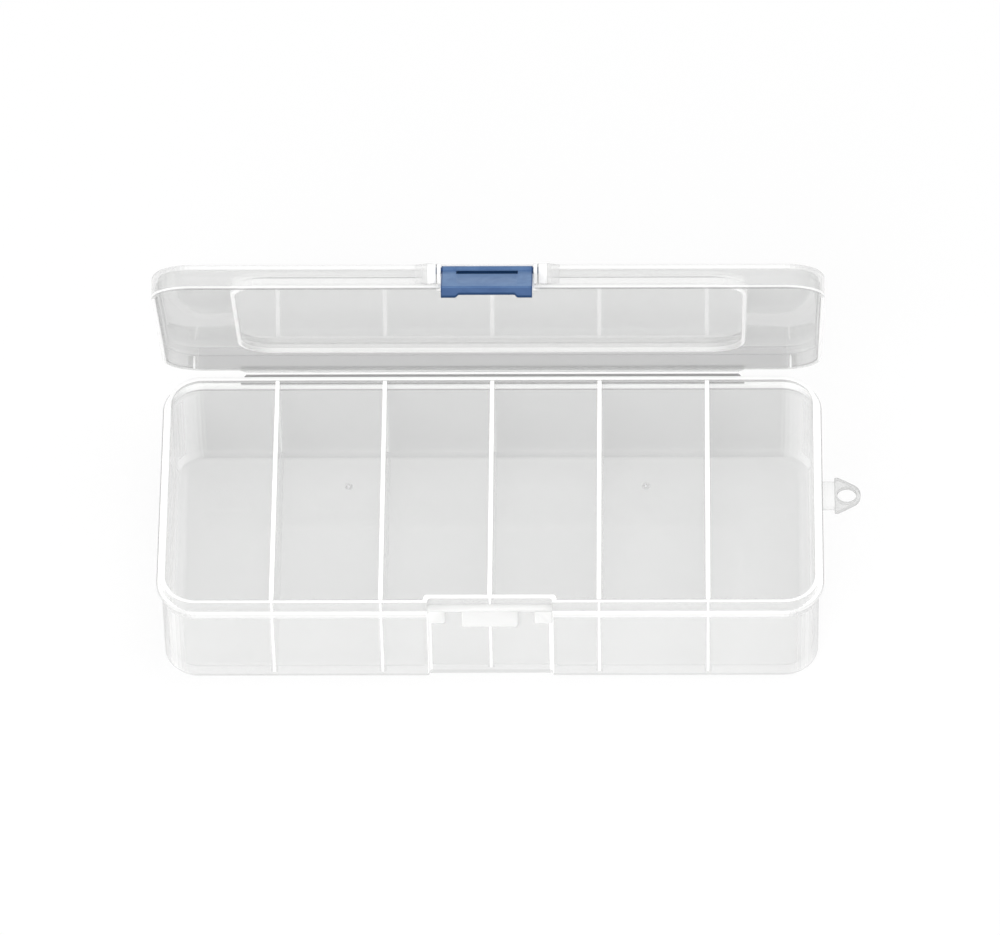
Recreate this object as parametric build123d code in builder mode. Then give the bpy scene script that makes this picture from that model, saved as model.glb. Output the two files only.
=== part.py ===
from build123d import *

import os
from math import acos, atan2, cos, degrees, radians, sin

# Lure box with five fixed dividers, a hinged lid and a snap latch, in millimetres.
# Origin at the centre of the tray's flat underside, +X towards the hang loop,
# -Y towards the latch, +Z up. The lid stands open and the latch is swung out.

# Tray
tray_length = 177.4
tray_depth = 79.0
tray_height = 32.6
tray_corner = 9.5
wall = 1.1
floor_thickness = 1.5
foot_round = 1.2
floor_round_long = 1.6
floor_round_end = 4.0

# Flange round the tray, with the lip standing above it
lip_height = 2.9
flange_width = 1.3
flange_thickness = 1.1

# Dividers, moulded in one with the tray
compartments = 6
divider_top = 1.2
divider_base = 1.9
divider_rise = 2.2

# Recess in the front wall, with the catch that hangs in front of it
recess_width = 33.5
recess_depth = 1.4
recess_round = 1.0
catch_reach = 1.9
catch_thickness = 1.1
catch_tab_width = 15.0
catch_tab_drop = 7.4
catch_leg_width = 4.65
catch_leg_drop = 5.9
catch_corner = 0.6

# Hang loop on the right end
loop_neck = 3.2
loop_neck_width = 9.0
loop_base_width = 11.6
loop_base_length = 1.0
loop_hole_radius = 2.65
loop_hole_reach = 6.5
loop_rim = 1.1
loop_thickness = 1.6

# Lid
lid_height = 7.2
lid_wall = 1.1
lid_top = 1.1
lid_edge_round = 1.8
lip_clearance = 0.2
seat_gap = 0.1
skirt_step_height = 4.1
skirt_step = 0.6
panel_length = 138.4
panel_depth = 66.3
panel_corner = 10.0
panel_sink = 3.0
panel_shift = 0.45
panel_edge_round = 0.8
lid_open_angle = 65.5

# Living hinge: two leaves joined by a thin film that bends round the hinge axis
hinge_reach = 3.6
leaf_length = 138.0
leaf_bevel = 1.5
leaf_gap = 0.35
film_radius = 0.4
film_thickness = 0.4

# Latch, with stub pins that turn in two ears on the lid
latch_width = 24.2
latch_plate = 1.5
latch_barrel_radius = 1.2
latch_clearance = 0.2
latch_swing = 55.0
latch_end_round = 0.4
bead_height = 1.3
bead_reach = 0.9
bead_width = 14.8
rib_reach = 1.7
rib_width = 3.3
rib_height = 4.0
rib_slant = 0.9
groove_length = 16.3
groove_width = 2.0
groove_depth = 0.5
pivot_height = 4.9
pin_radius = 0.9
pin_length = 2.2
pin_clearance = 0.05
pin_end_gap = 0.3
ear_gap = 0.25
ear_width = 3.55
ear_radius = 2.0
ear_edge_round = 0.5

# Places that follow from the sizes
ledge = tray_height - lip_height
flange_underside = ledge - flange_thickness
inner_length = tray_length - 2 * wall
inner_depth = tray_depth - 2 * wall
outer_length = tray_length + 2 * flange_width
outer_depth = tray_depth + 2 * flange_width
outer_corner = tray_corner + flange_width
lid_front = -outer_depth / 2
recess_face = -tray_depth / 2 + recess_depth
catch_face = recess_face - catch_reach
divider_pitch = (tray_length - wall) / compartments
hinge_y = tray_depth / 2 + hinge_reach
leaf_edge = hinge_y - leaf_gap
leaf_tip_length = leaf_length - 2 * leaf_bevel
panel_top = lid_height - panel_sink
pivot_y = catch_face - latch_clearance - latch_barrel_radius
ear_inner = latch_width / 2 + ear_gap
pin_hole_end = latch_width / 2 + pin_length + pin_end_gap
tip_drop = pivot_height + catch_tab_drop + latch_clearance + bead_height
rib_inner = bead_width / 2 + rib_slant
# How far a cutting form runs past the face that it opens
overrun = 5.0


def turned_plane(origin, angle):
    """A level plane with its Y axis to the back, turned open about X by an angle."""
    turn = radians(angle)
    return Plane(origin=origin, x_dir=(1, 0, 0), z_dir=(0, sin(turn), cos(turn)))


def side_of(plane, x):
    """The plane across X, at x, on which the given plane's Y and Z axes are X and Y."""
    return Plane(origin=plane.origin + Vector(x, 0, 0), x_dir=plane.y_dir, z_dir=(1, 0, 0))


# On the lid's planes, places are read as on the closed lid, from the middle of the tray.
hinge_plane = turned_plane((0, hinge_y, ledge), lid_open_angle)
lid_axis = Axis(hinge_plane.origin, hinge_plane.z_dir)
pivot = hinge_plane.from_local_coords(Vector(0, pivot_y - hinge_y, pivot_height))
ear_plane = turned_plane(pivot, lid_open_angle)
latch_plane = turned_plane(pivot, lid_open_angle + latch_swing)


def lid_level(height):
    """The level of the lid at a height above its rim, with its origin at the middle."""
    middle = hinge_plane.from_local_coords(Vector(0, -hinge_y, height))
    return Plane(origin=middle, x_dir=(1, 0, 0), z_dir=hinge_plane.z_dir)


def leaf_outline():
    """Corners of the hinge leaf that stands out behind the tray's flange or the lid."""
    root = outer_depth / 2
    left = [
        (-leaf_length / 2, root - flange_width / 2),
        (-leaf_length / 2, root),
        (-leaf_tip_length / 2, leaf_edge),
    ]
    return left + [(-x, y) for x, y in reversed(left)]


def save(part, name):
    part.label = name
    export_step(part, f"parts/{name}.step")


os.makedirs("parts", exist_ok=True)

# Cavity of the tray: its plan, then rounded along the floor at the long walls and the ends
with BuildPart() as cavity:
    with BuildSketch(Plane.XY.offset(floor_thickness)):
        RectangleRounded(inner_length, inner_depth, tray_corner - wall)
    extrude(amount=tray_height)
    with BuildSketch(Plane.YZ):
        with Locations((0, floor_thickness)):
            Rectangle(inner_depth, 2 * tray_height, align=(Align.CENTER, Align.MIN))
        fillet(vertices().group_by(Axis.Y)[0], floor_round_long)
    extrude(amount=inner_length, both=True, mode=Mode.INTERSECT)
    with BuildSketch(Plane.XZ):
        with Locations((0, floor_thickness)):
            Rectangle(inner_length, 2 * tray_height, align=(Align.CENTER, Align.MIN))
        fillet(vertices().group_by(Axis.Y)[0], floor_round_end)
    extrude(amount=inner_depth, both=True, mode=Mode.INTERSECT)
    # The front wall steps inward behind the latch recess.
    with BuildSketch(Plane.XY):
        with Locations((0, recess_face + wall)):
            Rectangle(
                recess_width + 2 * wall,
                recess_depth + wall + overrun,
                align=(Align.CENTER, Align.MAX),
            )
        fillet(vertices().group_by(Axis.Y)[-1], recess_round + wall)
    extrude(amount=2 * tray_height, mode=Mode.SUBTRACT)

# Tray shell: floor, walls, lip, flange and the tray's leaf of the living hinge
with BuildPart() as tray_shell:
    with BuildSketch(Plane.XY):
        RectangleRounded(tray_length, tray_depth, tray_corner)
    extrude(amount=tray_height)
    fillet(faces().sort_by(Axis.Z)[0].edges(), foot_round)
    with BuildSketch(Plane.XY.offset(flange_underside)):
        RectangleRounded(outer_length, outer_depth, outer_corner)
        Polygon(*leaf_outline(), align=None)
    extrude(amount=flange_thickness)
    with BuildSketch(Plane.XY):
        with Locations((0, recess_face)):
            Rectangle(recess_width, tray_depth, align=(Align.CENTER, Align.MAX))
        fillet(vertices().group_by(Axis.Y)[-1], recess_round)
    extrude(amount=tray_height, mode=Mode.SUBTRACT)
    add(cavity.part, mode=Mode.SUBTRACT)
save(tray_shell.part, "tray_shell")

# Dividers, drafted from the floor up and cut to the cavity
for number in range(1, compartments):
    with BuildPart() as divider:
        with BuildSketch(Plane.XZ):
            with Locations(((number - compartments / 2) * divider_pitch, 0)):
                Polygon(
                    (-divider_base / 2, floor_thickness),
                    (divider_base / 2, floor_thickness),
                    (divider_top / 2, ledge + divider_rise),
                    (-divider_top / 2, ledge + divider_rise),
                    align=None,
                )
        extrude(amount=inner_depth, both=True)
        add(cavity.part, mode=Mode.INTERSECT)
    save(divider.part, f"divider_{number}")

# Front catch: a bar that carries the flange across the recess, with a tab and two legs
with BuildPart() as front_catch:
    with BuildSketch(Plane.XY.offset(flange_underside)):
        with Locations((0, recess_face)):
            Rectangle(recess_width, catch_reach, align=(Align.CENTER, Align.MAX))
        fillet(vertices().group_by(Axis.Y)[-1], recess_round)
    extrude(amount=flange_thickness)
    with BuildSketch(Plane.XZ.offset(-catch_face)):
        leg_x = (recess_width - catch_leg_width) / 2
        for x, width, drop in (
            (-leg_x, catch_leg_width, catch_leg_drop),
            (0, catch_tab_width, catch_tab_drop),
            (leg_x, catch_leg_width, catch_leg_drop),
        ):
            with Locations((x, flange_underside)):
                Rectangle(width, drop - flange_thickness, align=(Align.CENTER, Align.MAX))
        fillet(vertices().filter_by(lambda v: v.Y < flange_underside - 1e-6), catch_corner)
    extrude(amount=-catch_thickness)
    add(tray_shell.part, mode=Mode.SUBTRACT)
save(front_catch.part, "front_catch")

# Hang loop: a neck on the end of the flange, a bar, and a ring that tapers from it
with BuildPart() as hang_loop:
    neck_end = outer_length / 2 + loop_neck
    bar_end = neck_end + loop_base_length
    hole_x = outer_length / 2 + loop_hole_reach
    ring_radius = loop_hole_radius + loop_rim
    bar_corner = Vector(bar_end - hole_x, loop_base_width / 2)
    # The ring's arc ends where a straight side from the bar's corner touches it.
    half_turn = degrees(
        atan2(bar_corner.Y, bar_corner.X) - acos(ring_radius / bar_corner.length)
    )
    with BuildSketch(Plane.XY.offset(ledge - loop_thickness)):
        with BuildLine():
            ring = CenterArc((hole_x, 0), ring_radius, -half_turn, 2 * half_turn)
            Polyline(
                ring @ 1,
                (bar_end, loop_base_width / 2),
                (neck_end, loop_base_width / 2),
                (neck_end, -loop_base_width / 2),
                (bar_end, -loop_base_width / 2),
                ring @ 0,
            )
        make_face()
        with Locations((outer_length / 2, 0)):
            Rectangle(loop_neck, loop_neck_width, align=(Align.MIN, Align.CENTER))
        with Locations((hole_x, 0)):
            Circle(loop_hole_radius, mode=Mode.SUBTRACT)
    extrude(amount=loop_thickness)
save(hang_loop.part, "hang_loop")

# Living hinge film, bent round the hinge axis as far as the lid is from lying flat open
with BuildPart() as living_hinge:
    with BuildSketch(Plane.YZ.offset(-leaf_tip_length / 2)):
        with BuildLine():
            bend = 180 - lid_open_angle
            inner_arc = CenterArc((hinge_y, ledge), film_radius - film_thickness / 2, -90, bend)
            outer_arc = CenterArc((hinge_y, ledge), film_radius + film_thickness / 2, -90, bend)
            to_tray = Vector(-leaf_gap, 0)
            to_lid = Vector(-leaf_gap, 0).rotate(Axis.Z, -lid_open_angle)
            Polyline(inner_arc @ 0, inner_arc @ 0 + to_tray, outer_arc @ 0 + to_tray, outer_arc @ 0)
            Polyline(inner_arc @ 1, inner_arc @ 1 + to_lid, outer_arc @ 1 + to_lid, outer_arc @ 1)
        make_face()
    extrude(amount=leaf_tip_length)
save(living_hinge.part, "living_hinge")

# Outer form of the lid, with the bay for the latch and its pin holes in the front face
with BuildPart() as lid_outer:
    with BuildSketch(lid_level(seat_gap)):
        RectangleRounded(outer_length, outer_depth, outer_corner)
    extrude(amount=lid_height - seat_gap)
    fillet(faces().sort_by(lid_axis)[-1].edges(), lid_edge_round)
    with BuildSketch(lid_level(seat_gap)):
        with Locations((0, catch_face)):
            Rectangle(2 * ear_inner, overrun, align=(Align.CENTER, Align.MAX))
    extrude(amount=lid_height, mode=Mode.SUBTRACT)
    with BuildSketch(side_of(ear_plane, 0)):
        Circle(pin_radius + pin_clearance)
    extrude(amount=pin_hole_end, both=True, mode=Mode.SUBTRACT)

# Hollow of the lid: over the lip, then a step in, round the sunken panel and the bay
with BuildPart() as lid_hollow:
    with BuildSketch(lid_level(seat_gap)):
        RectangleRounded(
            tray_length + 2 * lip_clearance,
            tray_depth + 2 * lip_clearance,
            tray_corner + lip_clearance,
        )
    extrude(amount=skirt_step_height - seat_gap)
    with BuildSketch(lid_level(skirt_step_height)):
        RectangleRounded(
            tray_length + 2 * lip_clearance - 2 * skirt_step,
            tray_depth + 2 * lip_clearance - 2 * skirt_step,
            tray_corner + lip_clearance - skirt_step,
        )
    extrude(amount=lid_height - lid_top - skirt_step_height)
    with BuildSketch(lid_level(panel_top - lid_top)):
        with Locations((0, panel_shift)):
            RectangleRounded(panel_length, panel_depth, panel_corner)
    extrude(amount=lid_height, mode=Mode.SUBTRACT)
    with BuildSketch(lid_level(seat_gap)):
        with Locations((0, catch_face + lid_wall)):
            Rectangle(2 * (ear_inner + lid_wall), overrun, align=(Align.CENTER, Align.MAX))
    extrude(amount=lid_height, mode=Mode.SUBTRACT)

# Lid shell: skirt, top, sunken panel and the lid's leaf of the living hinge
with BuildPart() as lid_shell:
    add(lid_outer.part)
    with BuildSketch(lid_level(seat_gap)):
        Polygon(*leaf_outline(), align=None)
    extrude(amount=flange_thickness)
    with BuildSketch(lid_level(panel_top)):
        with Locations((0, panel_shift)):
            RectangleRounded(
                panel_length - 2 * lid_wall,
                panel_depth - 2 * lid_wall,
                panel_corner - lid_wall,
            )
    extrude(amount=overrun, mode=Mode.SUBTRACT)
    rim_face = faces().filter_by(lid_axis).sort_by(lid_axis)[-1]
    fillet(rim_face.inner_wires()[0].edges(), panel_edge_round)
    add(lid_hollow.part, mode=Mode.SUBTRACT)
save(lid_shell.part, "lid_shell")

# Ears on the lid's front face, each with a blind hole for a stub pin of the latch
ear_root = lid_front - pivot_y
for name, side in (("latch_ear_left", -1), ("latch_ear_right", 1)):
    with BuildPart() as latch_ear:
        with BuildSketch(side_of(ear_plane, side * ear_inner)):
            with BuildLine():
                brow = CenterArc((0, 0), ear_radius, 90, 135)
                foot_y = -ear_radius * 2**0.5 - ear_root
                Polyline(
                    brow @ 1,
                    (ear_root, foot_y),
                    (ear_root + lid_edge_round, foot_y),
                    (ear_root + lid_edge_round, ear_radius),
                    brow @ 0,
                )
            make_face()
        extrude(amount=side * ear_width)
        fillet(faces().sort_by(Axis.X)[-1 if side > 0 else 0].edges(), ear_edge_round)
        add(lid_outer.part, mode=Mode.SUBTRACT)
        with BuildSketch(side_of(ear_plane, 0)):
            Circle(pin_radius + pin_clearance)
        extrude(amount=side * pin_hole_end, mode=Mode.SUBTRACT)
    save(latch_ear.part, name)

# Latch: barrel and plate, a bead and two ribs along its inner end, a groove and stub pins
with BuildPart() as latch:
    with BuildSketch(side_of(latch_plane, 0)):
        with Locations((latch_barrel_radius, 0)):
            Rectangle(latch_plate, tip_drop, align=(Align.MAX, Align.MAX))
        fillet(vertices().group_by(Axis.Y)[0].sort_by(Axis.X)[0], latch_end_round)
        Circle(latch_barrel_radius)
    extrude(amount=latch_width / 2, both=True)
    with BuildSketch(latch_plane.offset(-tip_drop)):
        with BuildLine():
            Polyline(
                (-latch_width / 2, 0),
                (-latch_width / 2, latch_barrel_radius + rib_reach),
                (-rib_inner, latch_barrel_radius + rib_reach),
                (-bead_width / 2, latch_barrel_radius + bead_reach),
                (bead_width / 2, latch_barrel_radius + bead_reach),
                (rib_inner, latch_barrel_radius + rib_reach),
                (latch_width / 2, latch_barrel_radius + rib_reach),
                (latch_width / 2, 0),
                close=True,
            )
        make_face()
        Rectangle(
            latch_width,
            latch_barrel_radius,
            align=(Align.CENTER, Align.MIN),
            mode=Mode.SUBTRACT,
        )
    extrude(amount=bead_height)
    with BuildSketch(latch_plane.offset(bead_height - tip_drop)):
        rib_x = rib_inner + rib_width / 2
        with Locations((-rib_x, latch_barrel_radius), (rib_x, latch_barrel_radius)):
            Rectangle(rib_width, rib_reach, align=(Align.CENTER, Align.MIN))
    extrude(amount=rib_height)
    with BuildSketch(latch_plane.offset(-latch_barrel_radius)):
        with Locations((0, latch_barrel_radius - latch_plate + groove_depth)):
            Rectangle(groove_length, overrun, align=(Align.CENTER, Align.MAX))
    extrude(amount=-groove_width, mode=Mode.SUBTRACT)
    with BuildSketch(side_of(latch_plane, 0)):
        Circle(pin_radius)
    extrude(amount=latch_width / 2 + pin_length, both=True)
save(latch.part, "latch")
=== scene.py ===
from math import acos, atan2, cos, pi, radians, sin, sqrt

import bmesh
import bpy
from mathutils import Matrix, Vector


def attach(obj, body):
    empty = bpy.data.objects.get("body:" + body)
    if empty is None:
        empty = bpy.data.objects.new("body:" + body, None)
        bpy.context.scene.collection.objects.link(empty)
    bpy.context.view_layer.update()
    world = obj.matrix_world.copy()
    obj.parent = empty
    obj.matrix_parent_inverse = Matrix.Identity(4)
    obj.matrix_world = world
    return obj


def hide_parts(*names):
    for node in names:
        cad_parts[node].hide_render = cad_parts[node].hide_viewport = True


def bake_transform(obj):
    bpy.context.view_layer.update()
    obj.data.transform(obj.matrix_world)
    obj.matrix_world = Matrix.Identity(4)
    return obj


# Lure box of clear moulded plastic. Sizes are in millimetres, in the same frame as the CAD
# part, and become metres as each mesh is made. Lid places are read as on the shut lid.

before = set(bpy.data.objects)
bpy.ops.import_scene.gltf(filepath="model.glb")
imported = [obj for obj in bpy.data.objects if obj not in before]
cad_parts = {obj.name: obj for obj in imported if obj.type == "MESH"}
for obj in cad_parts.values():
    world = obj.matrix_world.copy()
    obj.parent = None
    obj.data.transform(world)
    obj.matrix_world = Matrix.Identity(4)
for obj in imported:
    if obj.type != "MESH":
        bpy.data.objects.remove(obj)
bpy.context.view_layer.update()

MILLIMETRE = 0.001

# Tray
TRAY_HALF = 88.7
TRAY_DEEP = 39.5
TRAY_CORNER = 9.5
TRAY_TOP = 32.6
WALL = 1.1
FLOOR = 1.5
FOOT_ROUND = 1.2
FLOOR_ROUND_LONG = 3.0
FLOOR_ROUND_END = 4.0
LEDGE = 29.7
FLANGE = 1.3
FLANGE_UNDER = 28.6
LIP_ROUND = 0.28

# Recess for the latch in the tray's front wall
RECESS_HALF = 16.75
RECESS_FACE = -38.1
RECESS_ROUND = 1.0

# Lid
HINGE_Y = 43.1
LID_TURN = radians(65.5)
LID_HEIGHT = 7.2
LID_ROUND = 1.8
SEAT = 0.1
STEP_HEIGHT = 4.1
STEP = 0.6
INNER_TOP = 6.1
PANEL_HALF = 69.2
PANEL_DEEP = 33.15
PANEL_CORNER = 10.0
PANEL_SHIFT = 0.45
PANEL_OUTER = 4.2
PANEL_INNER = 3.1
PANEL_ROUND = 0.8
WALL_LINE = 5.45
BAY_HALF = 12.35
BAY_FACE = -40.0

# Latch
LATCH_TURN = radians(65.5 + 55.0)
PIVOT_Y = -41.4
PIVOT_HEIGHT = 4.9
LATCH_HALF = 12.1
BARREL = 1.2
PLATE = 1.5
TIP = 13.8
PIN_ROUND = 0.9

# Hinge leaves, and the film that is bent between them
LEAF_ROOT_HALF = 69.0
LEAF_TIP_HALF = 67.5
FILM_ROUND = 0.4
FILM_BEND = 114.5

# Dividers, whose ends and feet are sunk a little into the tray
DIVIDER_COUNT = 5
DIVIDER_PITCH = 29.383
DIVIDER_TOP = 31.9
DIVIDER_SUNK = 0.25

# Catch: how far it stands out, and the middle, width and drop of its legs and tab
CATCH_REACH = 1.9
CATCH_PARTS = ((-14.425, 4.65, 4.8), (0, 15.0, 6.3), (14.425, 4.65, 4.8))

# Hang loop, measured from the tray's flange
NECK_REACH = 3.2
NECK_HALF = 4.5
HOLE_REACH = 6.5
HOLE_ROUND = 2.65
RING_ROUND = 3.75
BAR_HALF = 5.8
LOOP_THICK = 1.6

# Round marks of the mould's gates, on the floor
GATE_PLACES = (-39.8, 42.0)
GATE_Y = 26.0
# Radius and height of each ring of a mark, from its edge in, and how white it is
GATE_RINGS = (
    (1.1, 0.0, 0.26),
    (1.0, 0.04, 0.4),
    (0.85, 0.04, 0.4),
    (0.8, 0.02, 0.3),
    (0.35, 0.02, 0.3),
    (0.25, 0.08, 0.9),
)

SMOOTH_ANGLE = radians(38)
# Painted glow: emission standing in for light that the clear plastic carries to its edges, and more
# where it gathers in a narrow gap
PAINTED_EDGE_GLOW = 0.11
PAINTED_GAP_GLOW = 0.36

# Colours
# The near-white is painted light on the clear plastic's edges and walls; the grey is painted shade for
# its edge lines
PAINTED_LIGHT_WHITE = (0.93, 0.93, 0.925, 1)
PAINTED_SHADE_LINE = (0.20, 0.20, 0.20, 1)
# The deeper blues are painted shade on the latch's ends and turned-away faces. The face blues are
# partly painted light. The slot blue is painted shade in its groove
SHADED_BLUES = (0.034, 0.076, 0.190, 1), (0.046, 0.096, 0.225, 1)
LIT_FACE_BLUES = (0.095, 0.190, 0.385, 1), (0.130, 0.240, 0.445, 1)
GRAIN_BLUE = (0.20, 0.31, 0.50, 1)
SLOT_SHADE_BLUE = (0.010, 0.044, 0.124, 1)
BLACK = (0, 0, 0, 1)
WHITE = (1, 1, 1, 1)


class Value:
    """One output of a node, on which arithmetic adds Math nodes."""

    def __init__(self, bench, socket):
        self.bench = bench
        self.socket = socket

    def math(self, operation, other=None, flip=False):
        first, second = (other, self) if flip else (self, other)
        values = {0: first} if other is None else {0: first, 1: second}
        return self.bench.node("ShaderNodeMath", {"operation": operation}, values)

    def __add__(self, other):
        return self.math("ADD", other)

    def __radd__(self, other):
        return self.math("ADD", other)

    def __sub__(self, other):
        return self.math("SUBTRACT", other)

    def __rsub__(self, other):
        return self.math("SUBTRACT", other, flip=True)

    def __mul__(self, other):
        return self.math("MULTIPLY", other)

    def __rmul__(self, other):
        return self.math("MULTIPLY", other)

    def __truediv__(self, other):
        return self.math("DIVIDE", other)

    def __pow__(self, other):
        return self.math("POWER", other)

    def __gt__(self, other):
        return self.math("GREATER_THAN", other)

    def __lt__(self, other):
        return self.math("LESS_THAN", other)

    def size(self):
        return self.math("ABSOLUTE")

    def clamp(self):
        return self.bench.node("ShaderNodeClamp", None, {"Value": self})

    def ramp(self, low, high, start=0.0, end=1.0):
        """start below low, end above high, and a smooth rise between them."""
        settings = {"interpolation_type": "SMOOTHSTEP"}
        values = {"Value": self, "From Min": low, "From Max": high, "To Min": start, "To Max": end}
        return self.bench.node("ShaderNodeMapRange", settings, values)


class Bench:
    """A node tree being built. One method adds any node."""

    def __init__(self, tree):
        self.tree = tree

    def add(self, kind, settings=None, values=None):
        node = self.tree.nodes.new(kind)
        for name, setting in (settings or {}).items():
            setattr(node, name, setting)
        for name, value in (values or {}).items():
            if isinstance(value, Value):
                self.tree.links.new(value.socket, node.inputs[name])
            else:
                node.inputs[name].default_value = value
        return node

    def node(self, kind, settings=None, values=None, out=0):
        return Value(self, self.add(kind, settings, values).outputs[out])

    def mix(self, share, first, second, blend="MIX"):
        """Two colours mixed. They are inputs 6 and 7 of a Mix node, counted from 0, and output 2."""
        settings = {"data_type": "RGBA", "blend_type": blend}
        return self.node("ShaderNodeMix", settings, {0: share, 6: first, 7: second}, 2)


def new_finish(name):
    material = bpy.data.materials.new(name)
    material.use_nodes = True
    material.node_tree.nodes.clear()
    return material, Bench(material.node_tree)


def give_surface(bench, shader):
    bench.add("ShaderNodeOutputMaterial", None, {"Surface": shader})


def clear_plastic(name, tint, veil, rough=0.16, gloss=0.75, glow=0.0):
    """Clear moulded plastic. Its painted_light_shade attribute paints light and shade on it: 0 on plain
    faces, towards 0.7 for paler painted light where the plastic looks lit, 1 on solid white edges
    painted as light, up to 2 where a painted glow stands in for light gathered at them, and below 0 for
    painted shade lines at edges. The body lets light through, the painted glow is emission on the paler
    faces, and its polished skin mirrors more as it turns away."""
    material, bench = new_finish(name)
    place = bench.node("ShaderNodeTexCoord", out=3)
    painted_light_shade = bench.node("ShaderNodeAttribute", {"attribute_name": "painted_light_shade"}, None, 2)
    flow = bench.node(
        "ShaderNodeTexNoise", None, {"Vector": place, "Scale": 38.0, "Detail": 3.0, "Distortion": 0.6}
    )
    grain = bench.node("ShaderNodeTexNoise", None, {"Vector": place, "Scale": 900.0, "Detail": 2.0})
    facing = bench.node("ShaderNodeLayerWeight", None, {"Blend": 0.5}, 1)
    cloud = (flow - 0.5) * 0.12
    # Paint rising above 0 gives paler painted light and white edges; below 0 it gives painted shade
    # lines
    painted_lit = (painted_light_shade + cloud).ramp(0.0, 0.7)
    solid = painted_light_shade.ramp(0.72, 0.98)
    painted_shade = (painted_light_shade * -1.0).ramp(0.0, 1.0)
    plain = bench.mix(flow.ramp(0.35, 0.65), (*[c * 0.985 for c in tint], 1), (*tint, 1))
    colour = bench.mix(painted_lit, plain, PAINTED_LIGHT_WHITE)
    colour = bench.mix(painted_shade, colour, PAINTED_SHADE_LINE)
    clear = (veil + cloud * veil) * (1.0 - painted_lit * 0.35) + facing**4.0 * 0.2 + painted_shade * 0.5
    alpha = clear * (1.0 - solid) + solid * 0.94
    # Emission as painted glow on white edges, gaps and paler faces
    painted_glow = solid * PAINTED_EDGE_GLOW + painted_light_shade.ramp(1.0, 2.0) * PAINTED_GAP_GLOW + painted_lit * glow
    relief = flow + grain * 0.012
    bump = bench.node(
        "ShaderNodeBump", None, {"Strength": 0.06, "Distance": 0.0006, "Height": relief}
    )
    body = bench.node(
        "ShaderNodeBsdfPrincipled",
        None,
        {
            "Base Color": colour,
            "Roughness": rough + (grain - 0.5) * 0.08,
            "Alpha": alpha.clamp(),
            "Normal": bump,
            "Emission Color": bench.mix(painted_glow, BLACK, WHITE),
            "Emission Strength": 1.0,
            "IOR": 1.49,
        },
    )
    skin = bench.node("ShaderNodeBsdfAnisotropic", None, {"Roughness": 0.06, "Normal": bump})
    mirror = facing**5.0 * 0.96 + 0.04
    share = mirror * gloss * (1.0 - solid * 0.8)
    give_surface(bench, bench.node("ShaderNodeMixShader", None, {0: share, 1: body, 2: skin}))
    return material


def blue_plastic(name):
    """Opaque blue moulded plastic with a fine spark-eroded grain. Its painted_light_shade attribute is
    1 on the paler grained outer face, whose lighter blue is partly grain and partly painted light, 0 on
    the faces given a deeper blue as painted shade, and -1 for near-black painted shade in the slot and
    on the inner face."""
    material, bench = new_finish(name)
    place = bench.node("ShaderNodeTexCoord", out=3)
    grain = bench.node("ShaderNodeTexNoise", None, {"Vector": place, "Scale": 2600.0, "Detail": 3.0})
    swirl = bench.node(
        "ShaderNodeTexNoise", None, {"Vector": place, "Scale": 160.0, "Detail": 2.0, "Distortion": 1.2}
    )
    grain_and_shade = bench.node("ShaderNodeAttribute", {"attribute_name": "painted_light_shade"}, None, 2)
    deep = bench.mix(swirl.ramp(0.3, 0.7), *SHADED_BLUES)
    face = bench.mix(swirl.ramp(0.3, 0.7), *LIT_FACE_BLUES)
    grained = bench.mix(grain.ramp(0.5, 0.75) * 0.4, face, GRAIN_BLUE)
    colour = bench.mix(grain_and_shade.ramp(0.0, 1.0), deep, grained)
    colour = bench.mix((grain_and_shade * -1.0).ramp(0.0, 1.0), colour, SLOT_SHADE_BLUE)
    bump = bench.node(
        "ShaderNodeBump", None, {"Strength": 0.35, "Distance": 0.00008, "Height": grain}
    )
    shader = bench.node(
        "ShaderNodeBsdfPrincipled",
        None,
        {
            "Base Color": colour,
            "Roughness": 0.36 + grain * 0.12,
            "Specular IOR Level": 0.3,
            "Normal": bump,
            "IOR": 1.5,
        },
    )
    give_surface(bench, shader)
    return material


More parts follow.
